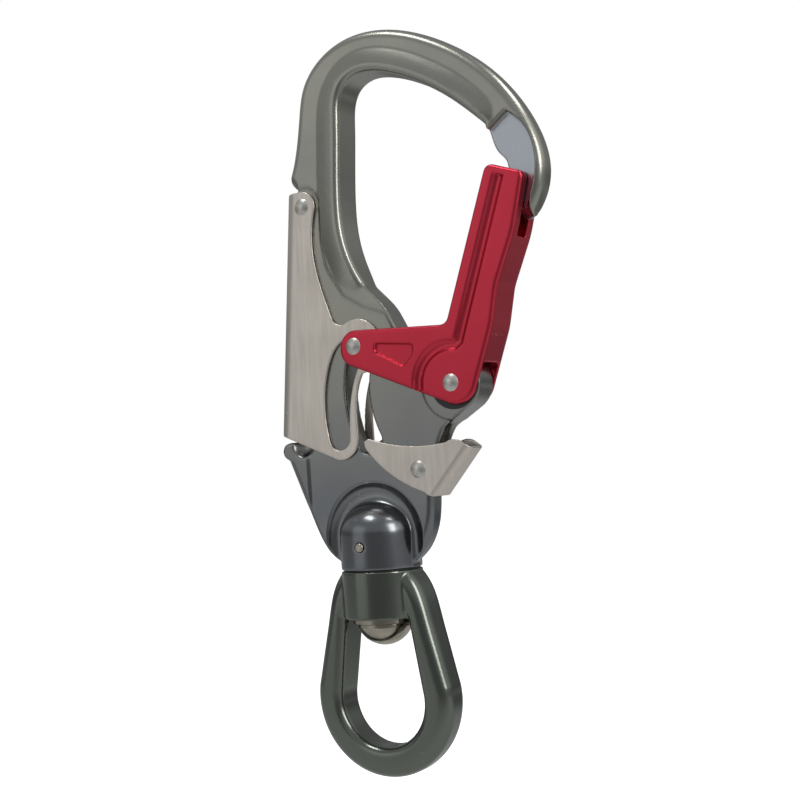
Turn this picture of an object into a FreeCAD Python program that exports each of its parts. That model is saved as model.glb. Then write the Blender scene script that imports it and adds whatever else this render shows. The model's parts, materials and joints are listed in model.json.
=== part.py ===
import FreeCAD, Part
import math
import os

# Double-action swivel safety hook.
# Millimetres, +Z up. The hook's flat faces look along Y and its gate is on the +X side.
# Plan outlines are drawn in the XZ plane as (x, z), with z measured from the swivel gap, and every
# finished piece is lifted by EYE_DEPTH, so that the origin is the centre of the swivel eye's bow.

EYE_DEPTH = 42.0          # swivel gap down to the centre of the eye's bow

# Thicknesses, all measured from the middle plane
BLANK_HALF = 4.7          # forged blank of the hook
FLAT_HALF = 4.1           # machined flats that the lever and the catch run on
BEAD_HALF = 6.5           # rounded bead round the inside of the hook
NOSE_HALF = 2.5           # thin nose that the gate closes over
BOSS_HALF = 4.9           # raised boss round the gate pivot
SHEET_IN = 4.2            # inner face of the folded sheet parts
SHEET_OUT = 5.2           # outer face of the folded sheet parts
GATE_IN = 5.3             # inner face of the gate's cheeks
GATE_OUT = 7.1            # outer face of the gate's cheeks

# Pivot places (x, z)
GATE_PIVOT = (33.8, 58.4)
LINK = (-1.7, 73.4)
LEVER_PIVOT = (-20.4, 122.8)
CATCH_PIVOT = (19.0, 31.8)

# Pins, rivets and running fits
SHANK = 1.9               # rivet shanks in the sheet parts and the gate
GATE_SHOULDER = 3.0       # gate rivet inside the body
HEAD = 2.8                # rivet heads
HEAD_RISE = 1.0
BUSH_WALL = 0.8
RUN = 0.05                # radial running clearance
ROLLER = 2.75             # roller on the link rivet

# Swivel
COLLAR = 13.4             # housing and collar radius
PIN = 6.0                 # swivel pin
BUSH_OUT = 7.5            # collar bush, outside
HOUSING_BOTTOM = 0.15
COLLAR_TOP = -0.25
COLLAR_BOTTOM = -15.6
WASHER_BOTTOM = -17.2     # underside of the thrust washer
WASHER = 10.5
PIN_HEAD = 9.0
PIN_TOP = 14.4
HEAD_SHOULDER = -18.6     # where the pin head's dome starts
DOME_START = 11.8         # where the housing's dome starts
DOME_RISE = 10.2
CROSS_PIN = 1.5
CROSS_PIN_Z = 7.8

# Swivel eye
BOW_IN = 15.5             # inside radius of the bow
BOW_OUT = 25.5            # outside radius of the bow
EYE_OUTER_EDGE = 4.4      # rounding of the eye's long edges, outside and inside
EYE_INNER_EDGE = 3.0

# Hook body
BLANK_EDGE = 3.4          # rounding of the blank's outer edges
LUG = 9.2                 # radius of the lug round the gate pivot
BOSS = 11.8               # radius of the raised boss on it
BACK_X = -22.3            # centre line of the spine's rounded back edge
BACK_ROUND = 4.0
WINDOW_IN = 32.5          # curved window, from the gate pivot
WINDOW_OUT = 41.6
SCOOP = 5.0               # ball that scoops the shoulder out under the lever's lower end
SCOOP_DEPTH = 2.2

# Catch
BRIDGE_TOP = (38.2, 37.6)
BRIDGE_FOOT = (25.6, 23.2)
BEND = 2.6                # outside radius of the bends between the cheeks and the bridge
BEND_IN = 0.9

# Lever and its spring
LEVER_BACK = ((-22.7, 127.0), (-30.3, 48.7))    # centre line of the rounded fold
LEVER_SPRING_HOLE = 2.7
LEVER_SPRING_SEAT = -16.5
LEVER_SPRING_Z = 96.0

THROUGH = 20.0            # more than half the thickness anywhere

Y_AXIS = FreeCAD.Vector(0, 1, 0)


def point(place, y=0.0):
    """A plan place (x, z) as a point in space."""
    return FreeCAD.Vector(place[0], y, place[1])


def polar(centre, radius, degrees):
    """The plan place at this radius and angle from a centre, with 0 along +X and 90 along +Z."""
    turn = math.radians(degrees)
    return (centre[0] + radius * math.cos(turn), centre[1] + radius * math.sin(turn))


def line(a, b):
    return Part.makeLine(point(a), point(b))


def arc(a, middle, b):
    return Part.Arc(point(a), point(middle), point(b)).toShape()


def spline(places):
    curve = Part.BSplineCurve()
    curve.interpolate([point(p) for p in places])
    return curve.toShape()


def rounded(corners):
    """Closed plan wire through (x, z, corner radius) corners."""
    starts, ends, edges = [], [], []
    count = len(corners)
    for i, (x, z, radius) in enumerate(corners):
        here = point((x, z))
        back = (point(corners[i - 1][:2]) - here).normalize()
        ahead = (point(corners[(i + 1) % count][:2]) - here).normalize()
        half = back.getAngle(ahead) / 2
        reach = radius / math.tan(half) if radius else 0.0
        starts.append(here + back * reach)
        ends.append(here + ahead * reach)
        if radius:
            inward = (back + ahead).normalize()
            crown = here + inward * (radius / math.sin(half) - radius)
            edges.append(Part.Arc(starts[i], crown, ends[i]).toShape())
    for i in range(count):
        following = starts[(i + 1) % count]
        if ends[i].distanceToPoint(following) > 1e-6:
            edges.append(Part.makeLine(ends[i], following))
    return Part.Wire(Part.__sortEdges__(edges))


def slab(wire, near, far):
    """The plan wire's face, extruded from y = near to y = far."""
    face = Part.Face(wire)
    face.translate(FreeCAD.Vector(0, near, 0))
    return face.extrude(FreeCAD.Vector(0, far - near, 0))


def cylinder_y(place, radius, near, far):
    return Part.makeCylinder(radius, far - near, point(place, near), Y_AXIS)


def cylinder_z(radius, low, high, x=0.0, y=0.0):
    return Part.makeCylinder(radius, high - low, FreeCAD.Vector(x, y, low))


def ring_z(outer, inner, low, high):
    return cylinder_z(outer, low, high).cut(cylinder_z(inner, low - 1, high + 1))


def both_sides(shape):
    """The shape and its mirror image in the middle plane, as one shape."""
    return shape.fuse(shape.mirror(FreeCAD.Vector(0, 0, 0), Y_AXIS))


def face_edges(shape, half, keep=lambda x, z: True):
    """Edges that lie on the two flat faces y = +half and y = -half, where keep accepts their middle."""
    found = []
    for edge in shape.Edges:
        box = edge.BoundBox
        flat = box.YMax - box.YMin < 1e-4 and abs(abs(box.YMax) - half) < 1e-4
        middle = edge.valueAt((edge.FirstParameter + edge.LastParameter) / 2)
        if flat and keep(middle.x, middle.z):
            found.append(edge)
    return found


def wire_rod(places, radius):
    """A round wire through points in space, with a ball at each bend."""
    rod = None
    for start, end in zip(places, places[1:]):
        along = end - start
        length = Part.makeCylinder(radius, along.Length, start, along)
        rod = length if rod is None else rod.fuse(length)
    for bend in places[1:-1]:
        rod = rod.fuse(Part.makeSphere(radius, bend))
    return rod


def coil(mean_radius, wire_radius, pitch, turns):
    """A helical spring along +Z from the origin, starting at (mean_radius, 0, 0)."""
    path = Part.Wire(Part.makeHelix(pitch, pitch * turns, mean_radius))
    start = FreeCAD.Vector(mean_radius, 0, 0)
    slope = FreeCAD.Vector(0, 2 * math.pi * mean_radius, pitch)
    section = Part.Wire(Part.makeCircle(wire_radius, start, slope))
    return path.makePipeShell([section], True, True)


def rivet(place, shank, half):
    """A rivet along Y with a low domed head outside y = +half and y = -half."""
    ball = (HEAD ** 2 + HEAD_RISE ** 2) / (2 * HEAD_RISE)
    latitude = math.degrees(math.asin((ball - HEAD_RISE) / ball))
    heads = [Part.makeSphere(ball, point(place, side * (half + HEAD_RISE - ball)), Y_AXIS * side,
                             latitude, 90) for side in (-1, 1)]
    return cylinder_y(place, shank, -half, half).fuse(heads)


# ---------------------------------------------------------------- hook body

def hook_outline():
    """Plan of the forged blank: outer bow, nose, inner edge, lug, lower plate and spine."""
    lug_top = polar(GATE_PIVOT, LUG, 90)
    lug_side = polar(GATE_PIVOT, LUG, 10)
    lug_end = polar(GATE_PIVOT, LUG, -52)
    edges = [
        spline([(-25.9, 134.2), (-22.9, 144.0), (-21.2, 153.5), (-18.6, 164.0), (-11.2, 172.6),
                (0.0, 177.3), (11.0, 177.6), (31.8, 170.8), (50.2, 157.9), (64.0, 139.8),
                (69.0, 123.6), (63.9, 108.8)]),
        arc((63.9, 108.8), (62.2, 106.5), (59.6, 107.9)),
        spline([(59.6, 107.9), (57.4, 114.0), (56.5, 122.5), (55.8, 126.2), (53.4, 129.0),
                (51.8, 132.6), (50.8, 136.4), (49.6, 141.2), (41.7, 150.5), (27.6, 160.4),
                (14.3, 166.2), (5.3, 167.1)]),
        spline([(5.3, 167.1), (-2.6, 164.3), (-6.9, 158.0), (-8.3, 150.0)]),
        line((-8.3, 150.0), (-9.5, 122.0)),
        spline([(-9.5, 122.0), (-8.4, 111.0), (-5.0, 102.5), (0.0, 95.5), (5.0, 90.4), (9.2, 85.8),
                (13.0, 79.0), (17.0, 72.8), (24.5, 69.0), lug_top]),
        arc(lug_top, lug_side, lug_end),
        line(lug_end, (31.1, 46.0)),
        spline([(31.1, 46.0), (28.0, 41.2), (25.6, 34.0), (23.2, 25.0), (22.4, 17.0),
                (19.4, 8.4), (13.4, 2.0)]),
        line((13.4, 2.0), (13.4, HOUSING_BOTTOM)),
        line((13.4, HOUSING_BOTTOM), (-13.4, HOUSING_BOTTOM)),
        line((-13.4, HOUSING_BOTTOM), (-13.4, 1.5)),
        spline([(-13.4, 1.5), (-17.8, 4.8), (-22.0, 11.0), (-27.0, 22.4)]),
        line((-27.0, 22.4), (-33.7, 38.6)),
        arc((-33.7, 38.6), (-34.0, 41.8), (-31.6, 43.4)),
        line((-31.6, 43.4), (-24.6, 43.4)),
        arc((-24.6, 43.4), (-23.0, 44.2), (BACK_X, 46.0)),
        line((BACK_X, 46.0), (BACK_X, 127.0)),
        arc((BACK_X, 127.0), (-22.9, 128.6), (-24.2, 129.9)),
        arc((-24.2, 129.9), (-25.6, 131.7), (-25.9, 134.2)),
    ]
    return Part.Wire(edges)


def bead():
    """Thick bead along the hook's inside: a flat inner wall, round corners and faces that fall to the web.

    Each station is (x, z, reach towards the opening, half thickness along Y).
    """
    stations = [
        (1.4, 90.2, 2.4, 4.0), (-1.2, 93.4, 3.2, 5.3), (-6.0, 101.6, 4.2, 6.3),
        (-9.0, 112.0, 4.6, BEAD_HALF), (-9.6, 123.0, 4.7, BEAD_HALF), (-8.3, 149.0, 4.9, BEAD_HALF),
        (-6.9, 157.4, 4.4, BEAD_HALF), (-2.6, 163.9, 3.8, BEAD_HALF), (5.3, 167.1, 3.6, BEAD_HALF),
        (14.3, 166.0, 3.6, BEAD_HALF), (27.6, 160.2, 3.5, BEAD_HALF), (41.7, 150.4, 3.2, 6.3),
        (49.4, 142.6, 2.6, 5.7), (53.0, 136.8, 1.4, 4.2),
    ]
    corner, outward, rise, ledge = 2.0, 4.0, 0.6, 0.2
    centre_line = Part.BSplineCurve()
    centre_line.interpolate([point(station[:2]) for station in stations])
    sections = []
    for x, z, inward, half in stations:
        here = point((x, z))
        along = FreeCAD.Vector(*centre_line.tangent(centre_line.parameter(here))[0])
        across = Y_AXIS.cross(along)
        low = min(BLANK_HALF + ledge, half - corner / 2)
        crest = inward - corner
        profile = [(inward, half - corner), (crest + corner * 0.7, half - corner * 0.3), (crest, half),
                   ((crest - outward) / 2, low + (half - low) * rise), (-outward, low)]
        front = [here + across * a - Y_AXIS * y for a, y in profile]
        rear = [here + across * a + Y_AXIS * y for a, y in profile]
        sections.append(Part.Wire([
            Part.makeLine(rear[0], front[0]),
            Part.Arc(front[0], front[1], front[2]).toShape(),
            Part.Arc(front[2], front[3], front[4]).toShape(),
            Part.makeLine(front[4], rear[4]),
            Part.Arc(rear[4], rear[3], rear[2]).toShape(),
            Part.Arc(rear[2], rear[1], rear[0]).toShape(),
        ]))
    return Part.makeLoft(sections, True, False)


def lever_zone():
    """Plan of the flats for the lever, the catch and the gate's cheeks."""
    return rounded([(-45, 129.4, 0), (-17.5, 129.4, 3.5), (-13.6, 125, 3), (-13.9, 111, 20),
                    (-12.4, 101, 12), (-6.0, 91.0, 6), (1.5, 86.5, 6), (10.0, 83.3, 3), (13.4, 76, 6),
                    (13.4, 67, 3), (60, 67, 0), (60, -5, 0), (-24, -5, 0),
                    (-24.4, 38.4, 4), (-28.6, 43.0, 2), (-45, 43.0, 0)])


def nose_zone():
    """Plan of the thin nose, inside its thicker outer rim."""
    rim = [(59.0, 104.0), (63.1, 111.5), (66.2, 122.5), (64.2, 134.5), (58.6, 140.6)]
    edges = [spline(rim), line(rim[-1], (49.0, 133.6)), line((49.0, 133.6), (49.0, 104.0)),
             line((49.0, 104.0), rim[0])]
    return Part.Wire(edges)


def nose_ramp():
    """Slope from the front face of the bow down to the thin nose."""
    foot, end, run = point((47.0, 132.1)), point((60.0, 141.6)), 9.0
    along = (end - foot).normalize()
    up = along.cross(Y_AXIS) * -1
    start = foot - along * 5
    profile = [start + up * a - Y_AXIS * y for a, y in (
        (-1.0, NOSE_HALF), (0.0, NOSE_HALF), (run, BEAD_HALF), (run, THROUGH), (-1.0, THROUGH))]
    face = Part.Face(Part.makePolygon(profile + profile[:1]))
    rim = [(66.2, 122.5), (64.2, 134.5), (58.6, 140.6), (52.4, 146.6), (46.0, 152.0)]
    inside = Part.Wire([spline(rim), line(rim[-1], (36.0, 142.0)), line((36.0, 142.0), (46.0, 120.0)),
                        line((46.0, 120.0), rim[0])])
    return face.extrude(along * 40).common(slab(inside, -THROUGH, THROUGH))


def window_wire():
    """Curved window round the gate pivot that the link rivet moves through."""
    start, end, middle = 151.0, 208.0, 180.0
    at = [polar(GATE_PIVOT, WINDOW_OUT, start), polar(GATE_PIVOT, WINDOW_OUT, middle),
          polar(GATE_PIVOT, WINDOW_OUT, end), polar(GATE_PIVOT, WINDOW_IN, end),
          polar(GATE_PIVOT, WINDOW_IN, middle), polar(GATE_PIVOT, WINDOW_IN, start)]
    centre_line = (WINDOW_IN + WINDOW_OUT) / 2
    cap = math.degrees((WINDOW_OUT - WINDOW_IN) / 3 / centre_line)
    return Part.Wire([
        arc(at[0], at[1], at[2]),
        arc(at[2], polar(GATE_PIVOT, centre_line, end + cap), at[3]),
        arc(at[3], at[4], at[5]),
        arc(at[5], polar(GATE_PIVOT, centre_line, start - cap), at[0]),
    ])


def moat():
    """Channel that the forging leaves round the domed housing, in the front face."""
    tube, arch, height, low = 4.0, 14.9, 10.0, -6.0
    y = -(FLAT_HALF + 1.9)
    foot = point((-arch, low), y)
    path = Part.Wire([
        Part.makeLine(foot, point((-arch, height), y)),
        Part.Arc(point((-arch, height), y), point((0, height + arch), y), point((arch, height), y)).toShape(),
        Part.makeLine(point((arch, height), y), point((arch, low), y)),
    ])
    section = Part.Wire(Part.makeCircle(tube, foot, FreeCAD.Vector(0, 0, 1)))
    return path.makePipeShell([section], True, True)


def scoop():
    """Hollow in the shoulder's front face, next to its tip."""
    return Part.makeSphere(SCOOP, point((-25.6, 42.4), SCOOP - SCOOP_DEPTH + FLAT_HALF))


def nose_tip():
    """What rounding the nose's front face off towards its tip takes away."""
    start, end, ball = point((66.0, 113.8)), point((61.4, 105.8)), 7.6
    along = (end - start).normalize()
    across = along.cross(Y_AXIS)
    length = (end - start).Length

    def place(distance):
        depth = BLANK_HALF - ball + math.sqrt(ball ** 2 - min(distance, ball) ** 2)
        return start + along * distance - Y_AXIS * depth

    last = ball - 0.6
    outside = [place(last) + along * length, place(last) + along * length - Y_AXIS * BEAD_HALF,
               place(0) - Y_AXIS * BEAD_HALF, place(0)]
    edges = [Part.Arc(place(0), place(last / 2), place(last)).toShape()]
    edges += [Part.makeLine(a, b) for a, b in zip([place(last)] + outside, outside)]
    face = Part.Face(Part.Wire(edges))
    face.translate(across * -BEAD_HALF)
    return face.extrude(across * 2 * BEAD_HALF)


def housing():
    """Domed swivel housing round the swivel axis."""
    dome = Part.makeSphere(1.0)
    stretch = FreeCAD.Matrix()
    stretch.scale(COLLAR, COLLAR, DOME_RISE)
    dome = dome.transformGeometry(stretch)
    dome.translate(FreeCAD.Vector(0, 0, DOME_START))
    dome = dome.common(cylinder_z(COLLAR + 1, DOME_START, DOME_START + DOME_RISE + 1))
    return cylinder_z(COLLAR, HOUSING_BOTTOM, DOME_START).fuse(dome)


def spring_pockets():
    """Pockets in the body for the gate, catch and lever springs."""
    gate_floor, catch_floor = 1.5, 1.3
    gate = cylinder_y(GATE_PIVOT, 6.0, gate_floor, 10)
    sweep = Part.Wire(Part.makePolygon([point(p) for p in (
        GATE_PIVOT, polar(GATE_PIVOT, 20, 42), polar(GATE_PIVOT, 20, 106), GATE_PIVOT)]))
    gate = gate.fuse(slab(sweep, gate_floor, 10))
    catch = cylinder_y(CATCH_PIVOT, 5.2, catch_floor, 10)
    sweep = Part.Wire(Part.makePolygon([point(p) for p in (
        CATCH_PIVOT, polar(CATCH_PIVOT, 14, -18), polar(CATCH_PIVOT, 14, 42), CATCH_PIVOT)]))
    catch = catch.fuse(slab(sweep, catch_floor, 10))
    seat = FreeCAD.Vector(LEVER_SPRING_SEAT, 0, LEVER_SPRING_Z)
    lever = Part.makeCylinder(LEVER_SPRING_HOLE, THROUGH, seat, FreeCAD.Vector(-1, 0, 0))
    return [gate, catch, lever]


def hook_body():
    """The forging: blank, machined flats, rounded back, nose, bead, boss, moat, housing and bores."""
    body = slab(hook_outline(), -BLANK_HALF, BLANK_HALF)
    outside = face_edges(body, BLANK_HALF,
                         lambda x, z: (z < 40 and abs(x) > 14) or z > 172 or (x < -23 and z > 130))
    body = body.makeFillet(BLANK_EDGE, outside)
    body = body.cut(both_sides(slab(lever_zone(), FLAT_HALF, THROUGH)))
    body = body.fuse(cylinder_z(BACK_ROUND, 43.6, 128.4, BACK_X))
    body = body.cut(both_sides(slab(nose_zone(), NOSE_HALF, THROUGH)))
    boss = cylinder_y(GATE_PIVOT, BOSS, -BOSS_HALF, BOSS_HALF)
    boss = boss.common(slab(hook_outline(), -THROUGH, THROUGH))
    body = body.fuse([bead(), boss])
    for hollow in (moat(), scoop(), nose_ramp(), nose_tip()):
        body = body.cut(hollow)
        body = body.cut(hollow.mirror(FreeCAD.Vector(0, 0, 0), Y_AXIS))
    body = body.fuse(housing())
    body = body.cut(slab(window_wire(), -THROUGH, THROUGH))
    body = body.cut(cylinder_z(PIN, HOUSING_BOTTOM - 1, PIN_TOP + 0.1))
    body = body.cut(cylinder_y((0, CROSS_PIN_Z), CROSS_PIN, -THROUGH, THROUGH))
    body = body.cut(cylinder_y(GATE_PIVOT, GATE_SHOULDER + RUN, -THROUGH, THROUGH))
    for pivot in (LEVER_PIVOT, CATCH_PIVOT):
        body = body.cut(cylinder_y(pivot, SHANK + RUN + BUSH_WALL, -THROUGH, THROUGH))
    return body.cut(spring_pockets())


# ---------------------------------------------------------------- gate

def gate_outline():
    """Plan of the gate: a short arm to the link rivet and a long arm to the nose."""
    return rounded([(-7.3, 79.1, 5.8), (33.0, 77.0, 3.0), (50.6, 125.6, 2.6), (63.5, 120.9, 2.2),
                    (59.0, 103.4, 40), (52.1, 87.6, 18), (49.4, 75.0, 30), (39.6, 48.9, 7.5),
                    (-7.3, 68.6, 5.8)])


def gate_channel():
    """Space between the cheeks, for the body, the lever and the gate spring."""
    return rounded([(-20, 95, 0), (30, 86.5, 0), (47.0, 86.5, 3), (45.2, 76, 20), (41.9, 64.0, 0),
                    (60, 64.0, 0), (60, 30, 0), (-20, 30, 0)])


def nose_slot():
    """Slot in the outer side of the gate that closes over the thin nose."""
    return rounded([(53.6, 135, 0), (53.0, 116, 20), (54.6, 102.0, 2.5), (70, 102.0, 0), (80, 135, 0)])


def gate_groove():
    """Shallow groove down the face and round the pivot."""
    width, ring_radius = 1.9, 12.0
    leg = rounded([(37.2, 70.2, 0.9), (56.0, 120.9, 0.9), (54.2, 121.5, 0.9), (35.4, 70.9, 0.9)])
    outer, inner = ring_radius + width / 2, ring_radius - width / 2
    start, middle, end = 74.0, 130.0, 189.0
    ring = Part.Wire([
        arc(polar(GATE_PIVOT, outer, start), polar(GATE_PIVOT, outer, middle),
            polar(GATE_PIVOT, outer, end)),
        line(polar(GATE_PIVOT, outer, end), polar(GATE_PIVOT, inner, end)),
        arc(polar(GATE_PIVOT, inner, end), polar(GATE_PIVOT, inner, middle),
            polar(GATE_PIVOT, inner, start)),
        line(polar(GATE_PIVOT, inner, start), polar(GATE_PIVOT, outer, start)),
    ])
    return [leg, ring]


def gate():
    """Two cheeks joined by the web along the gate's outer side."""
    recess = 0.9
    shape = slab(gate_outline(), -GATE_OUT, GATE_OUT)
    shape = shape.makeFillet(1.2, face_edges(shape, GATE_OUT))
    shape = shape.cut(slab(gate_channel(), -GATE_IN, GATE_IN))
    shape = shape.cut(slab(nose_slot(), -NOSE_HALF - 0.4, NOSE_HALF + 0.4))
    pocket = rounded([(6.6, 73.6, 0.8), (20.8, 72.0, 1.2), (20.4, 68.6, 2), (17.0, 65.0, 1.2),
                      (6.4, 70.6, 0.8)])
    for wire in gate_groove() + [pocket]:
        shape = shape.cut(both_sides(slab(wire, GATE_OUT - recess, GATE_OUT + 1)))
    for place in (GATE_PIVOT, LINK):
        shape = shape.cut(cylinder_y(place, SHANK, -THROUGH, THROUGH))
    return shape


def gate_pivot_rivet():
    """The gate's rivet, thicker inside the body."""
    shoulder = cylinder_y(GATE_PIVOT, GATE_SHOULDER, -GATE_IN, GATE_IN)
    return rivet(GATE_PIVOT, SHANK, GATE_OUT).fuse(shoulder)


def link_roller():
    """Roller on the link rivet, between the lever's cheeks."""
    half = FLAT_HALF - 0.1
    return cylinder_y(LINK, ROLLER, -half, half).cut(cylinder_y(LINK, SHANK, -THROUGH, THROUGH))


def gate_shim(side):
    """Thin washer between the boss and a gate cheek; side is -1 in front and 1 behind."""
    near, far = sorted((side * BOSS_HALF, side * (GATE_IN - RUN)))
    washer = cylinder_y(GATE_PIVOT, 8.4, near, far)
    return washer.cut(cylinder_y(GATE_PIVOT, 6.2, -THROUGH, THROUGH))


def gate_spring():
    """Torsion spring round the gate rivet; its long leg bears on the inside of the gate's outer web."""
    mean, wire_radius, pitch, turns, y = 4.7, 0.35, 0.75, 2.875, 1.95
    leg_start = -360 * turns % 360
    spring = coil(mean, wire_radius, pitch, turns)
    spring.rotate(FreeCAD.Vector(0, 0, 0), FreeCAD.Vector(1, 0, 0), -90)
    spring.translate(point(GATE_PIVOT, y))
    top = y + pitch * turns
    start = point(polar(GATE_PIVOT, mean, leg_start), top)
    return spring.fuse(wire_rod([start, point((43.6, 73.0), top)], wire_radius))


# ---------------------------------------------------------------- lever

def lever_outline():
    """Plan of the folded lever, from its rounded back to the hooked strip round the slot."""
    head = 9.2
    bend = [(-6.4, 81.3), polar(LINK, head, 60), polar(LINK, head, -80)]
    edges = [
        spline([(-15.4, 121.5), (-17.1, 111.5), (-16.6, 103.0), (-13.8, 92.0), (-11.3, 84.6)]),
        arc((-11.3, 84.6), (-9.6, 82.0), bend[0]),
        arc(bend[0], bend[1], bend[2]),
        spline([bend[2], (-2.6, 57.6), (-3.2, 52.0), (-3.15, 44.5)]),
        arc((-3.15, 44.5), (-5.9, 37.8), (-11.6, 36.5)),
        line((-11.6, 36.5), (-32.6, 45.3)),
        arc((-32.6, 45.3), (-35.0, 46.6), (-35.6, 49.2)),
        line((-35.6, 49.2), (-28.0, 126.4)),
        arc((-28.0, 126.4), (-27.2, 127.5), (-26.0, 128.0)),
        line((-26.0, 128.0), (-20.4, 128.0)),
        arc((-20.4, 128.0), (-16.7, 126.2), (-15.4, 121.5)),
    ]
    return Part.Wire(edges)


def lever_slot():
    """Curved slot for the link rivet, with the locking notch at its upper end."""
    return Part.Wire([
        spline([(-4.6, 76.4), (-9.3, 74.4), (-13.2, 68.0), (-15.3, 59.5), (-15.6, 50.5),
                (-14.6, 43.6)]),
        arc((-14.6, 43.6), (-10.5, 39.6), (-6.4, 43.4)),
        spline([(-6.4, 43.4), (-6.2, 49.0), (-5.2, 56.5), (-2.6, 64.5), (1.1, 71.4)]),
        arc((1.1, 71.4), (1.0, 75.4), (-2.2, 76.5)),
        line((-2.2, 76.5), (-4.6, 76.4)),
    ])


def lever_channel(half):
    """The space inside a channel this wide each side of the middle, with a rounded back, along the fold."""
    top, bottom = (point(p) for p in LEVER_BACK)
    overrun, width, length = 20, 80, 140    # more than the lever's outline on every side
    down = (bottom - top).normalize()
    right = down.cross(Y_AXIS)
    start = top - down * overrun
    reach = right * width
    side = Y_AXIS * half
    section = Part.Wire([
        Part.Arc(start + side, start - right * half, start - side).toShape(),
        Part.makeLine(start - side, start - side + reach),
        Part.makeLine(start - side + reach, start + side + reach),
        Part.makeLine(start + side + reach, start + side),
    ])
    return Part.Face(section).extrude(down * length)


def lever():
    """One sheet folded over the spine, with a cheek on each side."""
    shape = slab(lever_outline(), -SHEET_OUT - 1, SHEET_OUT + 1).common(lever_channel(SHEET_OUT))
    shape = shape.cut(lever_channel(SHEET_IN))
    shape = shape.cut(slab(lever_slot(), -THROUGH, THROUGH))
    return shape.cut(cylinder_y(LEVER_PIVOT, SHANK, -THROUGH, THROUGH))


def bush(place):
    """Sleeve pressed into the body round a rivet."""
    sleeve = cylinder_y(place, SHANK + RUN + BUSH_WALL, -FLAT_HALF, FLAT_HALF)
    return sleeve.cut(cylinder_y(place, SHANK + RUN, -THROUGH, THROUGH))


def lever_spring():
    """Compression spring between the spine's blind hole and the lever's fold."""
    mean, wire_radius, turns, gap = 2.1, 0.3, 7, 1.1
    (top_x, top_z), (low_x, low_z) = LEVER_BACK
    fold_x = top_x + (low_x - top_x) * (top_z - LEVER_SPRING_Z) / (top_z - low_z) - SHEET_IN
    free = LEVER_SPRING_SEAT - fold_x - gap - 2 * wire_radius
    spring = coil(mean, wire_radius, free / turns, turns)
    spring.rotate(FreeCAD.Vector(0, 0, 0), FreeCAD.Vector(0, 1, 0), -90)
    spring.translate(FreeCAD.Vector(LEVER_SPRING_SEAT - wire_radius, 0, LEVER_SPRING_Z))
    return spring


# ---------------------------------------------------------------- catch

def catch_outline():
    """Plan of the folded catch, with the bridge between its cheeks at the lower right."""
    edges = [
        arc((5.0, 41.4), (19.5, 39.3), (29.5, 39.9)),
        arc((29.5, 39.9), (33.2, 40.6), (35.6, 39.4)),
        line((35.6, 39.4), BRIDGE_TOP),
        line(BRIDGE_TOP, BRIDGE_FOOT),
        arc(BRIDGE_FOOT, (23.6, 22.9), (20.6, 24.4)),
        arc((20.6, 24.4), (7.6, 31.4), (-0.8, 39.9)),
        line((-0.8, 39.9), (-1.0, 41.9)),
        line((-1.0, 41.9), (0.6, 42.8)),
        line((0.6, 42.8), (5.0, 41.4)),
    ]
    return Part.Wire(edges)


def catch():
    """Two cheeks and the bridge between them, bent from one sheet."""
    top, foot = point(BRIDGE_TOP), point(BRIDGE_FOOT)
    middle = (top + foot) / 2
    shape = slab(catch_outline(), -SHEET_OUT, SHEET_OUT)
    bridge = face_edges(shape, SHEET_OUT, lambda x, z: point((x, z)).distanceToPoint(middle) < 0.5)
    shape = shape.makeFillet(BEND, bridge)
    along = (top - foot).normalize()
    outward = FreeCAD.Vector(along.z, 0, -along.x)
    corner = top - outward * (SHEET_OUT - SHEET_IN)
    beyond, below, depth = 20, 60, 90       # the space between the cheeks reaches well past them
    space_corners = [corner + along * beyond, corner - along * below]
    space_corners += [space_corners[1] - outward * depth, space_corners[0] - outward * depth]
    space = Part.Face(Part.makePolygon(space_corners + space_corners[:1]))
    space.translate(FreeCAD.Vector(0, -SHEET_IN, 0))
    space = space.extrude(FreeCAD.Vector(0, 2 * SHEET_IN, 0))
    inside = face_edges(space, SHEET_IN, lambda x, z: z < x)
    inside = [edge for edge in inside if edge.CenterOfMass.distanceToLine(corner, along) < SHEET_IN + 0.01]
    space = space.makeFillet(BEND_IN, inside)
    shape = shape.cut(space)
    return shape.cut(cylinder_y(CATCH_PIVOT, SHANK, -THROUGH, THROUGH))


def catch_spring():
    """Torsion spring round the catch's bush; its leg bears on the inside of the bridge."""
    mean, wire_radius, pitch, turns, y = 4.0, 0.35, 0.8, 2, 1.75
    spring = coil(mean, wire_radius, pitch, turns)
    spring.rotate(FreeCAD.Vector(0, 0, 0), FreeCAD.Vector(1, 0, 0), -90)
    spring.translate(point(CATCH_PIVOT, y))
    top = y + pitch * turns
    start = point((CATCH_PIVOT[0] + mean, CATCH_PIVOT[1]), top)
    return spring.fuse(wire_rod([start, point((30.4, 31.2), top)], wire_radius))


# ---------------------------------------------------------------- swivel

def swivel_pin():
    """Pin that hangs the eye from the housing, with a domed head below the collar."""
    dome_low, top_edge = -24.9, 0.5
    sag = HEAD_SHOULDER - dome_low
    ball = (PIN_HEAD ** 2 + sag ** 2) / (2 * sag)
    head = cylinder_z(PIN_HEAD, HEAD_SHOULDER, WASHER_BOTTOM)
    upper = [edge for edge in head.Edges if edge.BoundBox.ZMin > WASHER_BOTTOM - 0.1]
    head = head.makeFillet(top_edge, upper)
    dome = Part.makeSphere(ball, FreeCAD.Vector(0, 0, dome_low + ball))
    dome = dome.common(cylinder_z(PIN_HEAD, dome_low, HEAD_SHOULDER))
    shape = cylinder_z(PIN, HEAD_SHOULDER, PIN_TOP).fuse([head, dome])
    return shape.cut(cylinder_y((0, CROSS_PIN_Z), CROSS_PIN, -THROUGH, THROUGH)).removeSplitter()


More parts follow.
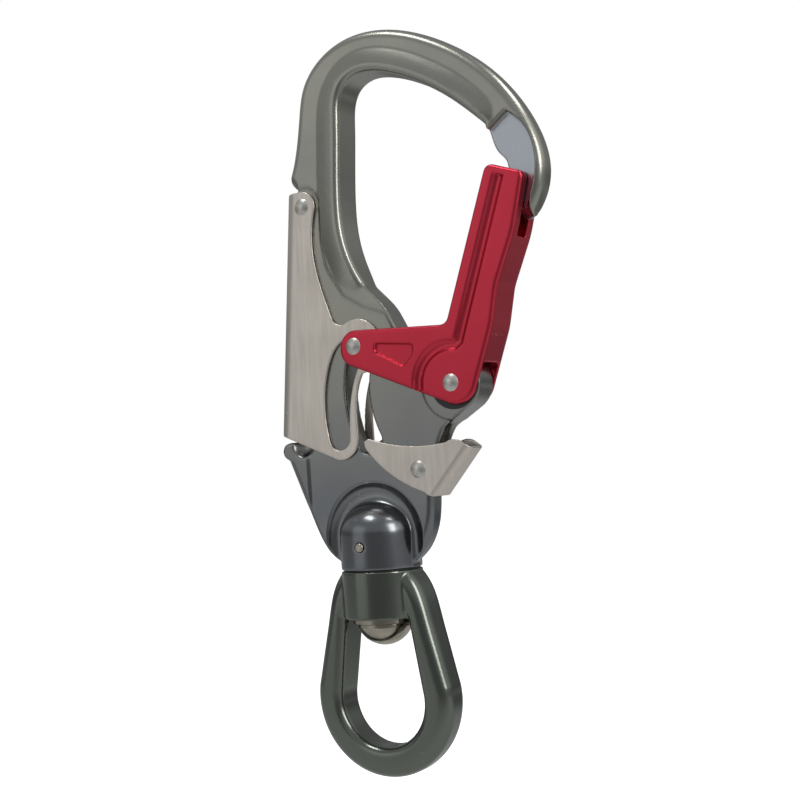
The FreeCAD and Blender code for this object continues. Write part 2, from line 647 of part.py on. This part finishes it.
def cross_pin():
    """Pin through the housing that holds the swivel pin."""
    reach = COLLAR + 0.35
    pin = cylinder_y((0, CROSS_PIN_Z), CROSS_PIN, -reach, reach)
    return pin.makeFillet(0.6, face_edges(pin, reach))


def eye_outline():
    """Plan of the eye's outside: collar shoulders, legs and bow."""
    side = polar((0, -EYE_DEPTH), BOW_OUT, 10)
    return Part.Wire([
        spline([(13.0, -0.6), (16.6, -6.0), (19.6, -16.0), (22.4, -27.0), side]),
        arc(side, (0, -EYE_DEPTH - BOW_OUT), (-side[0], side[1])),
        spline([(-side[0], side[1]), (-22.4, -27.0), (-19.6, -16.0), (-16.6, -6.0), (-13.0, -0.6)]),
        line((-13.0, -0.6), (13.0, -0.6)),
    ])


def eye_opening():
    """Plan of the eye's opening, with its flat top at the collar."""
    side = polar((0, -EYE_DEPTH), BOW_IN, 12)
    top = COLLAR_BOTTOM
    return Part.Wire([
        spline([(11.8, top), (13.6, -28.0), side]),
        arc(side, (0, -EYE_DEPTH - BOW_IN), (-side[0], side[1])),
        spline([(-side[0], side[1]), (-13.6, -28.0), (-11.8, top)]),
        line((-11.8, top), (11.8, top)),
    ])


def swivel_eye():
    """Collar and bow, thinner towards the bottom, with rounded edges."""
    half_top, half_low, low = 7.3, 5.8, -70
    half_width = (BOW_IN + BOW_OUT) / 2
    shape = slab(eye_outline(), -half_top, half_top).cut(slab(eye_opening(), -THROUGH, THROUGH))
    side_view = Part.makePolygon([FreeCAD.Vector(-40, y, z) for y, z in (
        (-half_top, 0), (-half_low, low), (half_low, low), (half_top, 0), (-half_top, 0))])
    shape = shape.common(Part.Face(side_view).extrude(FreeCAD.Vector(80, 0, 0)))
    tilt = math.atan((half_top - half_low) / -low) * 1.5
    for edge_round, outer in ((EYE_OUTER_EDGE, True), (EYE_INNER_EDGE, False)):
        edges = []
        for face in shape.Faces:
            turned = face.normalAt(0, 0).getAngle(Y_AXIS)
            if min(turned, math.pi - turned) > tilt:
                continue
            for edge in face.Edges:
                middle = edge.valueAt((edge.FirstParameter + edge.LastParameter) / 2)
                reach = middle.distanceToPoint(point((0, -EYE_DEPTH), middle.y))
                upper = middle.z > -EYE_DEPTH + BOW_IN
                outside = abs(middle.x) > half_width - 5.5 if upper else reach > half_width
                if middle.z < -2 and outside == outer:
                    edges.append(edge)
        shape = shape.makeFillet(edge_round, edges)
    shape = shape.fuse(cylinder_z(COLLAR, COLLAR_BOTTOM, COLLAR_TOP))
    return shape.cut(cylinder_z(BUSH_OUT, COLLAR_BOTTOM - 5, 1))


def piece(name, shape):
    """Lift a finished piece into the part's own frame and write its file."""
    shape = shape.copy()
    shape.translate(FreeCAD.Vector(0, 0, EYE_DEPTH))
    shape.exportStep("parts/" + name + ".step")


os.makedirs("parts", exist_ok=True)
piece("hook_body", hook_body())
piece("gate", gate())
piece("gate_pivot_rivet", gate_pivot_rivet())
piece("gate_shim_front", gate_shim(-1))
piece("gate_shim_rear", gate_shim(1))
piece("gate_spring", gate_spring())
piece("link_rivet", rivet(LINK, SHANK, GATE_OUT))
piece("link_roller", link_roller())
piece("lever", lever())
piece("lever_rivet", rivet(LEVER_PIVOT, SHANK, SHEET_OUT))
piece("lever_bush", bush(LEVER_PIVOT))
piece("lever_spring", lever_spring())
piece("catch", catch())
piece("catch_rivet", rivet(CATCH_PIVOT, SHANK, SHEET_OUT))
piece("catch_bush", bush(CATCH_PIVOT))
piece("catch_spring", catch_spring())
piece("swivel_pin", swivel_pin())
piece("cross_pin", cross_pin())
piece("swivel_eye", swivel_eye())
piece("collar_bush", ring_z(BUSH_OUT, PIN + RUN, COLLAR_BOTTOM, COLLAR_TOP))
piece("thrust_washer", ring_z(WASHER, PIN + RUN, WASHER_BOTTOM, COLLAR_BOTTOM - 0.1))
piece("gap_washer", ring_z(12.6, PIN, -0.2, HOUSING_BOTTOM))
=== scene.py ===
"""Looks for the swivel safety hook: forged and anodised finishes, brushed sheet, soft studio light."""
import json
import math

import bpy
from mathutils import Matrix, Vector


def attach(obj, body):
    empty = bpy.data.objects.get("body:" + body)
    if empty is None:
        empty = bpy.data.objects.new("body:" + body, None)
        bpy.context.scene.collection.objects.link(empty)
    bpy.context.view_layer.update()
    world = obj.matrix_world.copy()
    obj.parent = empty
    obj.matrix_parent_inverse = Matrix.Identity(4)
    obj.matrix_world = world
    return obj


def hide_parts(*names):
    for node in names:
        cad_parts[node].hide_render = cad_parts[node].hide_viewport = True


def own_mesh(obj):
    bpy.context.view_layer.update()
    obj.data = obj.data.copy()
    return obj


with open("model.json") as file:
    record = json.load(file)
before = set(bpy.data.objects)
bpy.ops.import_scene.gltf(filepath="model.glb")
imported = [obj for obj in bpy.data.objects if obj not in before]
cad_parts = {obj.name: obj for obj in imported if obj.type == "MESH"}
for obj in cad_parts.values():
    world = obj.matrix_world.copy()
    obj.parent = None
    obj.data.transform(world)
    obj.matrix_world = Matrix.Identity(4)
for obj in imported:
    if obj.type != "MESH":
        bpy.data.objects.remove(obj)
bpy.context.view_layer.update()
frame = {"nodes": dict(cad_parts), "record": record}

scene = bpy.context.scene
MM = 0.001


def add_object(name, data):
    """A new object in the scene."""
    piece = bpy.data.objects.new(name, data)
    scene.collection.objects.link(piece)
    return piece


# ---------------------------------------------------------------- camera

def add_camera():
    """Camera in front and to the right of the hook, a little below it, rolled so that the hook leans left."""
    right = Vector((0.8540, 0.5168, -0.0610)).normalized()
    up = Vector((0.0792, -0.0133, 0.9968))
    up = (up - right * up.dot(right)).normalized()
    back = right.cross(up)
    data = bpy.data.cameras.new("camera")
    data.sensor_width = 36
    data.lens = 59.67
    camera = add_object("camera", data)
    place = Matrix((right, up, back)).transposed().to_4x4()
    place.translation = Vector((0.2341, -0.3718, 0.0741))
    camera.matrix_world = place
    scene.camera = camera


# ---------------------------------------------------------------- node trees

COLOUR_A = 6              # the colour sockets of a Mix node
COLOUR_B = 7
COLOUR_OUT = 2

EDGE_WEAR_AND_SHEEN = (0.54, 0.60)       # pointiness from flat to an edge, painted paler there: part wear, part painted highlight
CREVICE_GRIME_AND_SHADE = (0.43, 0.49)    # pointiness from a groove to flat; grooves are painted darker: part grime, part painted shade


class Nodes:
    """Short names for building the node tree of a material or a world."""

    def __init__(self, owner):
        owner.use_nodes = True
        self.owner = owner
        self.tree = owner.node_tree
        self.shader = self.tree.nodes.get("Principled BSDF")
        self.coords = self.add("ShaderNodeTexCoord")

    def add(self, kind, **values):
        """A new node of that kind, with these settings."""
        node = self.tree.nodes.new(kind)
        for key, value in values.items():
            setattr(node, key, value)
        return node

    def link(self, source, target):
        self.tree.links.new(source, target)

    def noise(self, scale, stretch=(1, 1, 1), detail=3.0, rough=0.5):
        """Noise in object space; scale is per metre."""
        mapping = self.add("ShaderNodeMapping")
        mapping.inputs["Scale"].default_value = stretch
        self.link(self.coords.outputs["Object"], mapping.inputs["Vector"])
        noise = self.add("ShaderNodeTexNoise")
        noise.inputs["Scale"].default_value = scale
        noise.inputs["Detail"].default_value = detail
        noise.inputs["Roughness"].default_value = rough
        self.link(mapping.outputs["Vector"], noise.inputs["Vector"])
        return noise.outputs["Fac"]

    def spread(self, value, low, high, start=0.3, end=0.7, easing="LINEAR"):
        """Maps a value from start..end to low..high, and clamps it."""
        node = self.add("ShaderNodeMapRange", interpolation_type=easing)
        node.inputs["From Min"].default_value = start
        node.inputs["From Max"].default_value = end
        node.inputs["To Min"].default_value = low
        node.inputs["To Max"].default_value = high
        self.link(value, node.inputs["Value"])
        return node.outputs["Result"]

    def mix(self, amount, a, b):
        """Colour a at amount 0, b at amount 1; each is a colour or a socket."""
        node = self.add("ShaderNodeMix", data_type="RGBA")
        for socket, value in ((node.inputs[COLOUR_A], a), (node.inputs[COLOUR_B], b)):
            if isinstance(value, tuple):
                socket.default_value = (*value, 1.0)
            else:
                self.link(value, socket)
        self.link(amount, node.inputs[0])
        return node.outputs[COLOUR_OUT]

    def math(self, kind, a, b=0.0):
        """A Math node; a and b are each a number or a socket."""
        node = self.add("ShaderNodeMath", operation=kind)
        for socket, value in ((node.inputs[0], a), (node.inputs[1], b)):
            if isinstance(value, (int, float)):
                socket.default_value = value
            else:
                self.link(value, socket)
        return node.outputs[0]

    def split(self, vector):
        """The X, Y and Z of a vector, as the outputs of one node."""
        node = self.add("ShaderNodeSeparateXYZ")
        self.link(vector, node.inputs[0])
        return node.outputs

    def bump(self, height, strength, distance):
        """Bumps the shader's surface by the height."""
        node = self.add("ShaderNodeBump")
        node.inputs["Strength"].default_value = strength
        node.inputs["Distance"].default_value = distance
        self.link(height, node.inputs["Height"])
        self.link(node.outputs["Normal"], self.shader.inputs["Normal"])

    def pointiness(self, low, high, limits):
        """Goes from low to high as the surface's pointiness goes between the limits."""
        geometry = self.add("ShaderNodeNewGeometry")
        return self.spread(geometry.outputs["Pointiness"], low, high, *limits)

    def worn_and_painted_light(self, colour, edge, wear_and_sheen, dirt_and_shade, grime_and_shade):
        """The colour with paler edges, part wear and part painted highlight, and darker grooves, part grime
        and part painted shade; both amounts are from 0 to 1.
        """
        # paler edges: partly wear, partly a painted highlight
        at_edges = self.pointiness(0.0, 1.0, EDGE_WEAR_AND_SHEEN)
        colour = self.mix(self.math("MULTIPLY", at_edges, wear_and_sheen), colour, edge)
        # darker grooves: partly grime, partly a painted shade
        in_grooves = self.pointiness(1.0, 0.0, CREVICE_GRIME_AND_SHADE)
        return self.mix(self.math("MULTIPLY", in_grooves, grime_and_shade), colour, dirt_and_shade)

    def seen_or(self, seen, other):
        """The first shader where the camera looks straight at it, the second in its light on other things."""
        path = self.add("ShaderNodeLightPath")
        mix = self.add("ShaderNodeMixShader")
        self.link(path.outputs["Is Camera Ray"], mix.inputs[0])
        self.link(other.outputs[0], mix.inputs[1])
        self.link(seen.outputs[0], mix.inputs[2])
        return mix.outputs[0]


# ---------------------------------------------------------------- materials

TINT_LOW = 0.060          # heights between which the anodised tint changes, in metres
TINT_HIGH = 0.12
RISE_ROUGH = 0.08         # roughness that the film gains for a full step of the tint

NOSE_HALF = 2.8 * MM      # the thin nose is within this of the middle plane
NOSE_FROM = 45 * MM       # and further out than this
FACING = 0.8              # a flat face's normal has at least this much Y

CLOUDS = 38.0             # noise scales, per metre: slow drift of the tint
SMEARS = 170.0            # patches of handling
GRAIN = 2400.0            # blasted grain
BRUSHING = 900.0          # lines along the sheet
STAINS = 60.0
SKIN = 900.0              # colour of a moulded surface
SKIN_GRAIN = 3000.0

FINE = 0.02 * MM          # depths of bump
DENT = 0.05 * MM


def machined_nose(n, place):
    """1 on the two flat faces of the thin nose, 0 elsewhere."""
    geometry = n.add("ShaderNodeNewGeometry")
    normal = n.split(geometry.outputs["Normal"])
    flat = n.math("GREATER_THAN", n.math("ABSOLUTE", normal["Y"]), FACING)
    thin = n.math("LESS_THAN", n.math("ABSOLUTE", place["Y"]), NOSE_HALF)
    outer = n.math("GREATER_THAN", place["X"], NOSE_FROM)
    return n.math("MULTIPLY", n.math("MULTIPLY", flat, thin), outer)


def anodised(name, low, high, edge, rough, wear_and_sheen=0.5, grime_and_shade=0.3, nose=None):
    """Forged aluminium under an anodised film.

    The tint drifts from low on the part to high on it, where it is also duller, with a fine blasted grain,
    slightly paler edges, part wear and part painted highlight, and darker grooves, part grime and part
    painted shade.
    The thin nose can have a colour of its own.
    """
    n = Nodes(bpy.data.materials.new(name))
    place = n.split(n.coords.outputs["Object"])
    cloud = n.noise(CLOUDS, detail=2.0)
    rise = n.spread(place["Z"], 0.0, 0.75, TINT_LOW, TINT_HIGH)
    colour = n.mix(n.math("ADD", rise, n.spread(cloud, 0.0, 0.25)), low, high)
    if nose:
        colour = n.mix(machined_nose(n, place), colour, nose)
    # colour of the darker grooves: partly grime, partly a painted shade
    dirt_and_shade = tuple(0.25 * channel for channel in low)
    n.link(n.worn_and_painted_light(colour, edge, wear_and_sheen, dirt_and_shade, grime_and_shade), n.shader.inputs["Base Color"])
    n.shader.inputs["Metallic"].default_value = 1.0
    grain = n.noise(GRAIN, detail=4.0, rough=0.6)
    smear = n.spread(n.noise(SMEARS, detail=3.0), rough - 0.012, rough + 0.018)
    uneven = n.math("ADD", n.spread(grain, -0.01, 0.01), smear)
    n.link(n.math("ADD", uneven, n.math("MULTIPLY", rise, RISE_ROUGH)), n.shader.inputs["Roughness"])
    n.bump(grain, 0.012, FINE)
    return n.owner


def brushed(name, dark, light, rough, direction):
    """Cold-rolled sheet: fine lines along one direction, a few soft stains, pale edges that are part cut
    metal and part painted highlight, and grooves darkened by grime and a painted shade.
    """
    n = Nodes(bpy.data.materials.new(name))
    lines = n.noise(BRUSHING, stretch=direction, detail=5.0, rough=0.7)
    stains = n.noise(STAINS, detail=3.0)
    amount = n.math("ADD", n.spread(lines, 0.0, 0.55), n.spread(stains, 0.0, 0.45))
    # pale edges: cut metal and a painted highlight
    rim = tuple(1.35 * channel for channel in light)
    # darker grooves: grime and a painted shade
    dirt_and_shade = tuple(0.45 * channel for channel in dark)
    n.link(n.worn_and_painted_light(n.mix(amount, dark, light), rim, 0.8, dirt_and_shade, 0.7), n.shader.inputs["Base Color"])
    n.shader.inputs["Metallic"].default_value = 1.0
    n.link(n.spread(lines, rough + 0.06, rough - 0.05), n.shader.inputs["Roughness"])
    n.bump(lines, 0.10, FINE)
    return n.owner


def metal(name, dark, light, rough, scale=700.0):
    """Tumbled or turned small metal parts, with slight dents and stains; scale is that of the stains."""
    n = Nodes(bpy.data.materials.new(name))
    stains = n.spread(n.noise(scale, detail=4.0), 0.0, 1.0)
    dents = n.noise(scale * 1.3, detail=2.0)
    n.link(n.mix(stains, dark, light), n.shader.inputs["Base Color"])
    n.shader.inputs["Metallic"].default_value = 1.0
    n.link(n.spread(stains, rough + 0.05, rough - 0.03, 0.0, 1.0), n.shader.inputs["Roughness"])
    n.bump(dents, 0.25, DENT)
    return n.owner


def polymer(name, dark, light):
    """Moulded plastic with a slight mottle."""
    n = Nodes(bpy.data.materials.new(name))
    n.link(n.mix(n.spread(n.noise(SKIN), 0.0, 1.0), dark, light), n.shader.inputs["Base Color"])
    n.shader.inputs["Roughness"].default_value = 0.45
    n.bump(n.noise(SKIN_GRAIN), 0.1, FINE)
    return n.owner


# in each finish the edge colour paints wear and a highlight on edges, and the grime amount darkens grooves
# with grime and a painted shade
FINISH = {
    "forged_aluminium": anodised("forged_aluminium", (0.150, 0.160, 0.178), (0.325, 0.322, 0.282),
                                 (0.50, 0.50, 0.46), 0.22, wear_and_sheen=0.25, grime_and_shade=0.1, nose=(0.42, 0.45, 0.485)),
    "eye_aluminium": anodised("eye_aluminium", (0.145, 0.158, 0.137), (0.185, 0.200, 0.173),
                              (0.36, 0.38, 0.35), 0.20, wear_and_sheen=0.2),
    # the red's pale edges are partly a painted highlight; its strong darkening of the groove is mostly
    # painted shade, with some grime
    "red_aluminium": anodised("red_aluminium", (0.42, 0.028, 0.045), (0.60, 0.045, 0.075),
                              (0.80, 0.15, 0.19), 0.26, grime_and_shade=0.8),
    "folded_steel": brushed("folded_steel", (0.52, 0.475, 0.425), (0.67, 0.62, 0.56), 0.36, (1, 1, 0.06)),
    "rivet_steel": metal("rivet_steel", (0.46, 0.45, 0.42), (0.60, 0.59, 0.56), 0.36),
    "pin_steel": metal("pin_steel", (0.29, 0.265, 0.215), (0.41, 0.375, 0.315), 0.15, scale=300.0),
    "spring_steel": metal("spring_steel", (0.35, 0.35, 0.36), (0.50, 0.50, 0.51), 0.25),
    "bush_bronze": metal("bush_bronze", (0.42, 0.28, 0.12), (0.58, 0.42, 0.20), 0.35),
    "shim_polymer": polymer("shim_polymer", (0.012, 0.012, 0.013), (0.022, 0.022, 0.024)),
}

SLOT_OF = {part["node"]: part["material_slot"] for part in frame["record"]["subparts"]}


def paint_cad_nodes():
    """Gives every CAD node the finish of its slot."""
    for node, piece in frame["nodes"].items():
        for place in piece.material_slots:
            place.material = FINISH[SLOT_OF[node]]


# ---------------------------------------------------------------- stand-ins

def evaluated(piece):
    """A new mesh with the piece's modifiers or bevel applied."""
    graph = bpy.context.evaluated_depsgraph_get()
    return bpy.data.meshes.new_from_object(piece.evaluated_get(graph))


def stand_in(piece, node, body):
    """Shows the piece for the CAD node, in the node's finish, riding on the body."""
    piece.data.materials.clear()
    piece.data.materials.append(FINISH[SLOT_OF[node]])
    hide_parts(node)
    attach(piece, body)


def rod(name, places, radius):
    """A closed round rod through places, which are in mm, as is its radius."""
    curve = bpy.data.curves.new(name, "CURVE")
    curve.dimensions = "3D"
    curve.bevel_depth = radius * MM
    curve.bevel_resolution = 5
    curve.use_fill_caps = True
    path = curve.splines.new("POLY")
    path.points.add(len(places) - 1)
    for point, place in zip(path.points, places):
        point.co = (*(MM * value for value in place), 1)
    bar = add_object("bar", curve)
    piece = add_object(name, evaluated(bar))
    bpy.data.objects.remove(bar)
    return piece


def round_point(centre, radius, degrees, y):
    """The point at that angle on a circle about centre, which is (x, z), at depth y; all in mm."""
    turn = math.radians(degrees)
    return (centre[0] + radius * math.cos(turn), y, centre[1] + radius * math.sin(turn))


# ---------------------------------------------------------------- forged pieces

GATE_PIVOT = (33.8, 100.4)        # x and z of the gate's and the catch's hinges, in mm
CATCH_PIVOT = (19.0, 73.8)

GROOVE_TOP = (55.1, 163.2)        # x and z of the ends of the groove's straight run down the gate's face
GROOVE_FOOT = (37.4, 113.2)
GROOVE_RING = 12.0                # radius of its round stretch about the gate's pivot
GROOVE_RING_FROM = 80             # angle where that begins, in degrees
GROOVE_RING_STEP = 9
GROOVE_RING_STEPS = 12
GROOVE_CUT = 2.2                  # radius of the bar that cuts the groove
GROOVE_OUT = 8.1                  # how far the bar's middle is from the gate's middle plane

FORGED = (                        # node, body, voxel in mm, rounds of smoothing, most faces
    ("hook_body", "hook", 0.35, 16, 190000),
    ("gate", "gate", 0.25, 14, 190000),
    ("lever", "lever", 0.25, 2, 190000),
    ("catch", "catch", 0.22, 2, 190000),
    ("swivel_eye", "eye", 0.3, 8, 150000),
)


def groove_cutter(side):
    """Round bar along the groove that runs down the gate's face and round its pivot; side is -1 or 1."""
    y = side * GROOVE_OUT
    straight = [(x, y, z) for x, z in (GROOVE_TOP, GROOVE_FOOT)]
    ring = [round_point(GATE_PIVOT, GROOVE_RING, GROOVE_RING_FROM + GROOVE_RING_STEP * step, y)
            for step in range(GROOVE_RING_STEPS + 1)]
    return rod("groove_cutter", straight + ring, GROOVE_CUT)


def apply_modifiers(piece):
    """Gives the piece the mesh that its modifiers make."""
    mesh = evaluated(piece)
    piece.modifiers.clear()
    piece.data = mesh


def forge(node, body, voxel, rounds, faces, cutters):
    """Stand-in for a CAD node with the soft edges of a forging: fine remesh, smoothing, then fewer faces."""
    piece = add_object(node + "_forged", frame["nodes"][node].data.copy())
    for cutter in cutters:
        cut = piece.modifiers.new("cut", "BOOLEAN")
        cut.operation = "DIFFERENCE"
        cut.object = cutter
    remesh = piece.modifiers.new("remesh", "REMESH")
    remesh.mode = "VOXEL"
    remesh.voxel_size = voxel * MM
    smooth = piece.modifiers.new("smooth", "SMOOTH")
    smooth.factor = 0.5
    smooth.iterations = rounds
    apply_modifiers(piece)
    for cutter in cutters:
        bpy.data.objects.remove(cutter)
    triangles = len(piece.data.polygons) * 2
    if triangles > faces:
        fewer = piece.modifiers.new("fewer", "DECIMATE")
        fewer.ratio = faces / triangles
        apply_modifiers(piece)
    piece.data.shade_smooth()
    stand_in(piece, node, body)


def forge_all():
    for node, body, voxel, rounds, faces in FORGED:
        cutters = [groove_cutter(side) for side in (-1, 1)] if node == "gate" else []
        forge(node, body, voxel, rounds, faces, cutters)


# ---------------------------------------------------------------- springs

TORSION_WIRE = 0.35               # wire radius of the gate's and the catch's springs, in mm
STEPS_A_TURN = 32


def torsion_spring(node, pivot, mean, pitch, turns, start_y, tip, follower):
    """Coil that stays with the hook, and a leg out to tip, (x, z), that turns with the piece it pushes."""
    steps = round(turns * STEPS_A_TURN)
    wound = [turns * step / steps for step in range(steps + 1)]
    coil = [round_point(pivot, mean, -360 * turn, start_y + pitch * turn) for turn in wound]
    end = coil[-1]
    leg = [end, (tip[0], end[1], tip[1])]
    for part, places, body in (("_coil", coil, "hook"), ("_leg", leg, follower)):
        piece = rod(node + part, places, TORSION_WIRE)
        piece.data.shade_smooth()
        stand_in(piece, node, body)


def lever_spring():
    """The compression spring, with its seat in the spine; it rides with the hook."""
    piece = add_object("lever_spring_coil", frame["nodes"]["lever_spring"].data.copy())
    stand_in(piece, "lever_spring", "hook")
    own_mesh(piece)


def add_springs():
    torsion_spring("gate_spring", GATE_PIVOT, mean=4.7, pitch=0.75, turns=2.875, start_y=1.95,
                   tip=(43.6, 115.0), follower="gate")
    torsion_spring("catch_spring", CATCH_PIVOT, mean=4.0, pitch=0.8, turns=2, start_y=1.75,
                   tip=(30.4, 73.2), follower="catch")
    lever_spring()


# ---------------------------------------------------------------- stage and light

FLOOR_Z = -0.13
FLOOR_HALF = 6.0
FLOOR_DARK = (0.26, 0.26, 0.26)
FLOOR_PALE = (0.68, 0.68, 0.68)
FLOOR_SHADOWS = (                 # x, y, distance where the shadow begins to fade, distance where it ends
    (0.75, -1.4, 0.9, 1.45),
    (0.5, 0.8, 0.35, 0.6),
)

SOFTBOX_AIM = Vector((0, 0, 0.1))
SOFTBOXES = (                     # name, place, width, height, watts
    ("ceiling_left", (-0.25, -0.40, 1.25), 0.45, 0.22, 3.2),
    ("ceiling_right", (0.56, 0.10, 1.15), 0.45, 0.22, 2.8),
    ("window", (1.25, -0.45, 0.68), 0.40, 0.9, 6),
    ("front", (-0.80, -1.25, 0.38), 1.0, 1.1, 1.5),
)


def lit(n, x, y, start, end):
    """0 on the floor within start of (x, y), 1 from the distance end on."""
    away = n.add("ShaderNodeVectorMath", operation="DISTANCE")
    away.inputs[1].default_value = (x, y, FLOOR_Z)
    n.link(n.coords.outputs["Object"], away.inputs[0])
    return n.spread(away.outputs["Value"], 0.0, 1.0, start, end)


def add_floor():
    """White paper where the camera sees it; in reflections pale, with a shadow in front and one behind."""
    mesh = bpy.data.meshes.new("floor")
    corners = [(x * FLOOR_HALF, y * FLOOR_HALF, FLOOR_Z) for x, y in ((-1, -1), (1, -1), (1, 1), (-1, 1))]
    mesh.from_pydata(corners, [], [(0, 1, 2, 3)])
    n = Nodes(bpy.data.materials.new("floor_paper"))
    front, rear = (lit(n, *shadow) for shadow in FLOOR_SHADOWS)
    n.link(n.mix(n.math("MULTIPLY", front, rear), FLOOR_DARK, FLOOR_PALE), n.shader.inputs["Base Color"])
    n.shader.inputs["Roughness"].default_value = 0.9
    white = n.add("ShaderNodeEmission")
    white.inputs["Strength"].default_value = 0.9
    bright = n.add("ShaderNodeAddShader")
    n.link(white.outputs[0], bright.inputs[0])
    n.link(n.shader.outputs[0], bright.inputs[1])
    n.link(n.seen_or(bright, n.shader), n.tree.nodes["Material Output"].inputs["Surface"])
    mesh.materials.append(n.owner)
    add_object("floor", mesh)


def add_world():
    """A room brighter upwards and to the right, and dimmer behind; the camera sees white paper instead."""
    scene.world = bpy.data.worlds.new("studio")
    n = Nodes(scene.world)
    direction = n.coords.outputs["Generated"]
    axes = n.split(direction)
    across = n.add("ShaderNodeVectorMath", operation="DOT_PRODUCT")
    across.inputs[1].default_value = (1.0, 0.25, 0.0)
    n.link(direction, across.inputs[0])
    upwards = n.spread(axes["Z"], 0.36, 0.95, 0.0, 0.35, "SMOOTHSTEP")
    rightwards = n.spread(across.outputs["Value"], 0.50, 1.00, 0.35, 0.95, "SMOOTHSTEP")
    behind = n.spread(axes["Y"], 1.0, 0.60, 0.2, 0.8, "SMOOTHSTEP")
    around = n.add("ShaderNodeBackground")
    around.inputs["Color"].default_value = (0.97, 0.99, 1.0, 1)
    n.link(n.math("MULTIPLY", n.math("MULTIPLY", upwards, rightwards), behind), around.inputs["Strength"])
    seen = n.add("ShaderNodeBackground")
    seen.inputs["Color"].default_value = (1, 1, 1, 1)
    n.link(n.seen_or(seen, around), n.tree.nodes["World Output"].inputs["Surface"])


def add_lights():
    for name, place, width, height, watts in SOFTBOXES:
        data = bpy.data.lights.new(name, "AREA")
        data.shape = "RECTANGLE"
        data.size = width
        data.size_y = height
        data.energy = watts
        light = add_object(name, data)
        light.location = place
        light.rotation_euler = (SOFTBOX_AIM - Vector(place)).to_track_quat("-Z", "Y").to_euler()


paint_cad_nodes()
forge_all()
add_springs()

scene.view_settings.view_transform = "Standard"
add_camera()
add_floor()
add_world()
add_lights()
